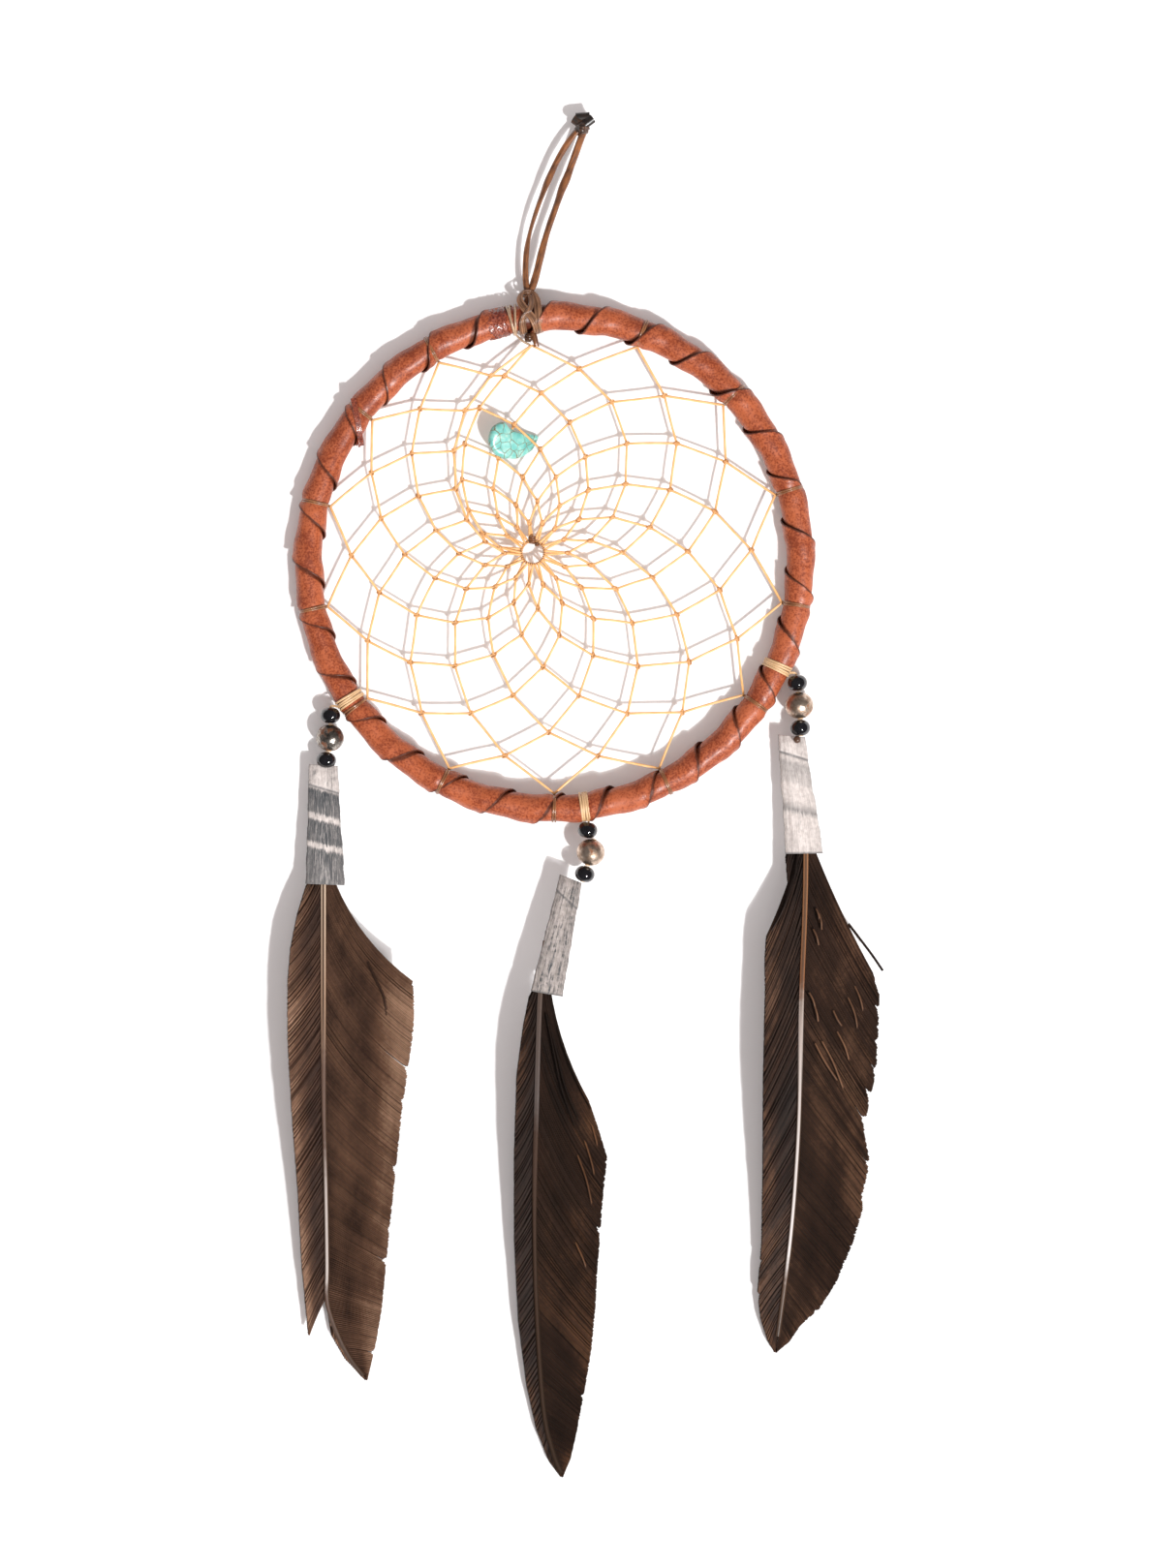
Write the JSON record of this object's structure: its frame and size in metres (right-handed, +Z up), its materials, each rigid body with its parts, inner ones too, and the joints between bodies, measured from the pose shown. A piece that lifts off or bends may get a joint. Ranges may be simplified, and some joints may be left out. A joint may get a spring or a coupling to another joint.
{
  "type": "dream catcher",
  "caption": "Leather-wrapped hoop with a woven sinew web, a threaded stone, a hanging loop, and pendants of beads, hide sleeves and feathers.",
  "frame": {"origin": "inside top of the hanging loop, where the nail goes", "axes": "+Z up, hoop in the XZ plane, front faces -Y, +X to the right seen from the front"},
  "size_m": [0.1185, 0.0074, 0.2737],
  "materials": {
    "ring_steel": "plain drawn wire",
    "wrap_leather": "reddish brown lacing leather, slight sheen",
    "gold_sinew": "waxed artificial sinew, golden",
    "brown_cord": "waxed artificial sinew, brown",
    "turquoise": "tumbled, with brown veins",
    "black_glass": "opaque black, glossy",
    "dark_metal": "antiqued gunmetal",
    "bronze": "antiqued champagne bronze",
    "painted_hide": "white painted hide with dark streaks",
    "quill": "horn-like, satin",
    "feather": "brown barbs"
  },
  "bodies": {
    "hanging_loop": {"loop_leg_left": "brown_cord", "loop_leg_right": "brown_cord", "loop_knot": "brown_cord"},
    "head": {"larks_head": "brown_cord"},
    "hoop": {"ring_core": "ring_steel", "leather_wrap": "wrap_leather", "leather_end": "wrap_leather", "wrap_tail": "wrap_leather", "web": "gold_sinew", "web_hitches": "gold_sinew", "start_turns": "gold_sinew", "hub_knot": "brown_cord", "left_tie": "gold_sinew", "middle_tie": "gold_sinew", "right_tie": "gold_sinew"},
    "stone": {"stone": "turquoise"},
    "left_upper": {"left_upper_bead": "black_glass"},
    "left_metal": {"left_metal_bead": "dark_metal", "left_bead_cord": "gold_sinew"},
    "left_lower": {"left_lower_bead": "black_glass", "left_lower_cord": "gold_sinew"},
    "left_feather": {"left_sleeve": "painted_hide", "left_quill": "quill", "left_vane": "feather"},
    "middle_upper": {"middle_upper_bead": "black_glass"},
    "middle_metal": {"middle_metal_bead": "bronze", "middle_bead_cord": "gold_sinew"},
    "middle_lower": {"middle_lower_bead": "black_glass", "middle_lower_cord": "gold_sinew"},
    "middle_feather": {"middle_sleeve": "painted_hide", "middle_quill": "quill", "middle_vane": "feather"},
    "right_upper": {"right_upper_bead": "black_glass"},
    "right_metal": {"right_metal_bead": "bronze", "right_bead_cord": "gold_sinew"},
    "right_lower": {"right_lower_bead": "black_glass", "right_lower_cord": "gold_sinew"},
    "right_feather": {"right_sleeve": "painted_hide", "right_quill": "quill", "right_vane": "feather", "right_knot": "brown_cord"}
  },
  "joints": [
    {"name": "loop_lean", "type": "hinge", "parent": "hanging_loop", "child": "head", "pos_m": [-0.01071, 0, -0.03198], "axis": [0, 1, 0], "range_deg": [-30, 30]},
    {"name": "hoop_swing", "type": "hinge", "parent": "head", "child": "hoop", "pos_m": [-0.01018, 0, -0.03715], "axis": [0.9949, 0, 0.1011], "range_deg": [-75, 75]},
    {"name": "stone_turn", "type": "hinge", "parent": "hoop", "child": "stone", "pos_m": [-0.01463, 0, -0.06149], "axis": [0.4297, 0, 0.903], "range_deg": [0, 110]},
    {"name": "left_bead_spin", "type": "hinge", "parent": "hoop", "child": "left_upper", "pos_m": [-0.0501, 0, -0.11685], "axis": [0.0175, 0, 0.9998], "continuous": true},
    {"name": "left_swing", "type": "hinge", "parent": "hoop", "child": "left_metal", "pos_m": [-0.0502, 0, -0.12135], "axis": [0, 1, 0], "range_deg": [-12, 60]},
    {"name": "left_nod", "type": "hinge", "parent": "left_metal", "child": "left_lower", "pos_m": [-0.0502, 0, -0.12135], "axis": [1, 0, 0], "range_deg": [-60, 60]},
    {"name": "left_twist", "type": "hinge", "parent": "left_lower", "child": "left_feather", "pos_m": [-0.0509, 0, -0.1258], "axis": [0, 0, 1], "continuous": true},
    {"name": "middle_bead_spin", "type": "hinge", "parent": "hoop", "child": "middle_upper", "pos_m": [0.00145, 0, -0.13985], "axis": [0.1392, 0, 0.9903], "continuous": true},
    {"name": "middle_swing", "type": "hinge", "parent": "hoop", "child": "middle_metal", "pos_m": [0.0021, 0, -0.1443], "axis": [0, 1, 0], "range_deg": [-14, 12]},
    {"name": "middle_nod", "type": "hinge", "parent": "middle_metal", "child": "middle_lower", "pos_m": [0.0021, 0, -0.1443], "axis": [1, 0, 0], "range_deg": [-60, 60]},
    {"name": "middle_twist", "type": "hinge", "parent": "middle_lower", "child": "middle_feather", "pos_m": [0.0009, 0, -0.14865], "axis": [0, 0, 1], "continuous": true},
    {"name": "right_bead_spin", "type": "hinge", "parent": "hoop", "child": "right_upper", "pos_m": [0.0435, 0, -0.11035], "axis": [-0.1045, 0, 0.9945], "continuous": true},
    {"name": "right_swing", "type": "hinge", "parent": "hoop", "child": "right_metal", "pos_m": [0.0439, 0, -0.11485], "axis": [0, 1, 0], "range_deg": [-60, 12]},
    {"name": "right_nod", "type": "hinge", "parent": "right_metal", "child": "right_lower", "pos_m": [0.0439, 0, -0.11485], "axis": [1, 0, 0], "range_deg": [-60, 60]},
    {"name": "right_twist", "type": "hinge", "parent": "right_lower", "child": "right_feather", "pos_m": [0.0441, 0, -0.11935], "axis": [-0.0698, 0, 0.9976], "continuous": true}
  ]
}
